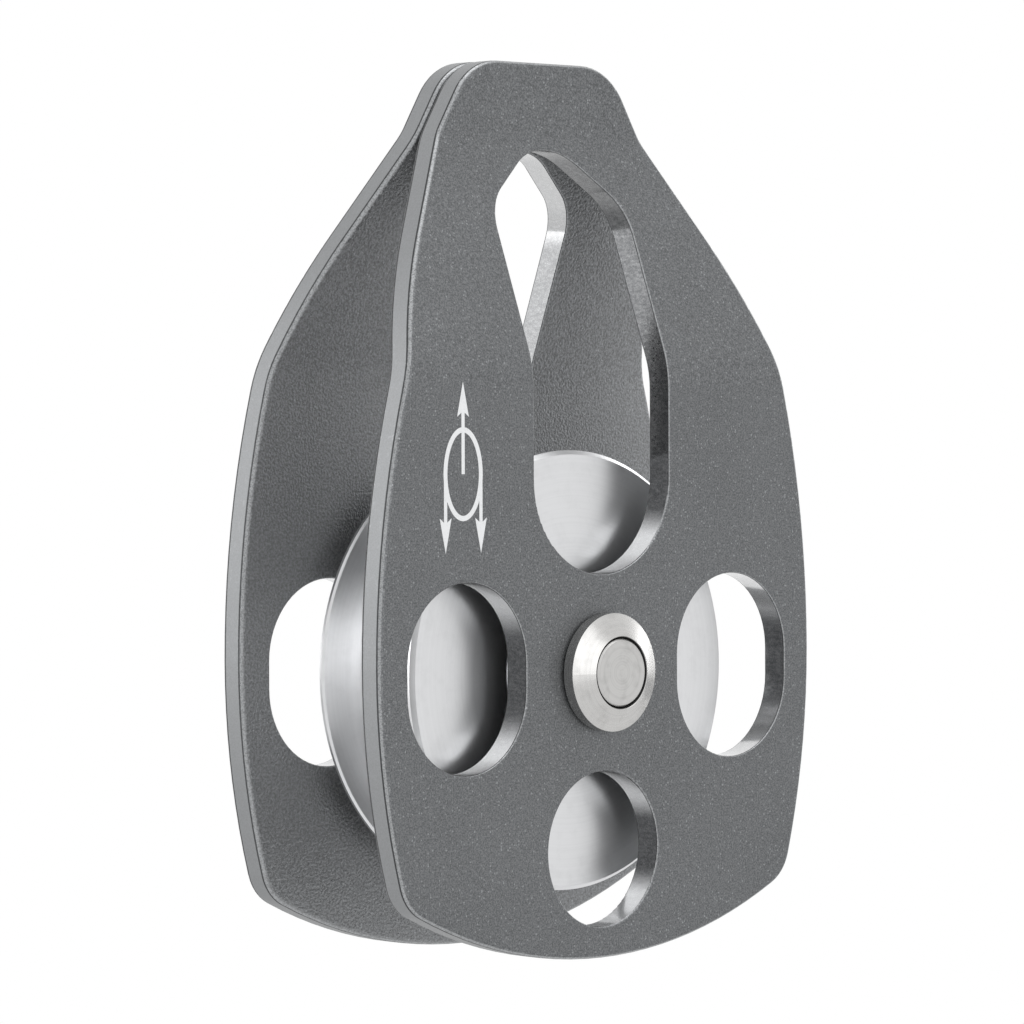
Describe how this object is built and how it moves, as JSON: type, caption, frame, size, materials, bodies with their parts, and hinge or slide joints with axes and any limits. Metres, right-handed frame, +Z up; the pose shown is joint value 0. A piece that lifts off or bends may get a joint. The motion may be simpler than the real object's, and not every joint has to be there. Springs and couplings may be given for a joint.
{
  "type": "rope pulley",
  "caption": "Swing-side rescue pulley: two bent side plates meet in a carabiner eye above a grooved sheave that turns on sealed ball bearings.",
  "frame": {"origin": "centre of the sheave, on the axle's axis midway between the side plates", "axes": "+Z up towards the carabiner eye, Y along the axle with the front plate on the -Y side, X across the plates"},
  "size_m": [0.0892, 0.0406, 0.1307],
  "materials": {
    "plate_grey": "dark grey anodised, fine bead-blast speckle",
    "sheave_aluminium": "turned and polished",
    "stainless": "turned",
    "bronze": "sintered bronze",
    "bearing_steel": "ground",
    "cage_steel": "pressed",
    "seal_rubber": "moulded"
  },
  "bodies": {
    "rear_cheek": {"rear_side_plate": "plate_grey"},
    "front_cheek": {"front_side_plate": "plate_grey"},
    "axle_set": {"axle": "stainless", "bearing_spacer": "stainless", "front_collar": "stainless", "rear_collar": "stainless", "front_plate_bush": "bronze", "rear_plate_bush": "bronze", "front_thrust_washer": "stainless", "rear_thrust_washer": "stainless", "front_bearing_inner_ring": "bearing_steel", "rear_bearing_inner_ring": "bearing_steel"},
    "sheave_set": {"sheave": "sheave_aluminium", "front_bearing_outer_ring": "bearing_steel", "front_bearing_outer_seal": "seal_rubber", "front_bearing_inner_seal": "seal_rubber", "rear_bearing_outer_ring": "bearing_steel", "rear_bearing_outer_seal": "seal_rubber", "rear_bearing_inner_seal": "seal_rubber"},
    "front_ball_train": {"front_bearing_balls": "bearing_steel", "front_bearing_cage": "cage_steel"},
    "rear_ball_train": {"rear_bearing_balls": "bearing_steel", "rear_bearing_cage": "cage_steel"}
  },
  "joints": [
    {"name": "axle_turn", "type": "hinge", "parent": "rear_cheek", "child": "axle_set", "pos_m": [0, 0, 0], "axis": [0, 1, 0], "continuous": true},
    {"name": "front_cheek_swing", "type": "hinge", "parent": "rear_cheek", "child": "front_cheek", "pos_m": [0, 0, 0], "axis": [0, 1, 0], "continuous": true},
    {"name": "sheave_spin", "type": "hinge", "parent": "axle_set", "child": "sheave_set", "pos_m": [0, 0, 0], "axis": [0, 1, 0], "continuous": true},
    {"name": "front_ball_train_spin", "type": "hinge", "parent": "axle_set", "child": "front_ball_train", "pos_m": [0, 0, 0], "axis": [0, 1, 0], "continuous": true},
    {"name": "rear_ball_train_spin", "type": "hinge", "parent": "axle_set", "child": "rear_ball_train", "pos_m": [0, 0, 0], "axis": [0, 1, 0], "continuous": true}
  ],
  "couplings": [
    {"joint": "front_ball_train_spin", "follows": "sheave_spin", "ratio": 0.6322},
    {"joint": "rear_ball_train_spin", "follows": "sheave_spin", "ratio": 0.6322}
  ]
}
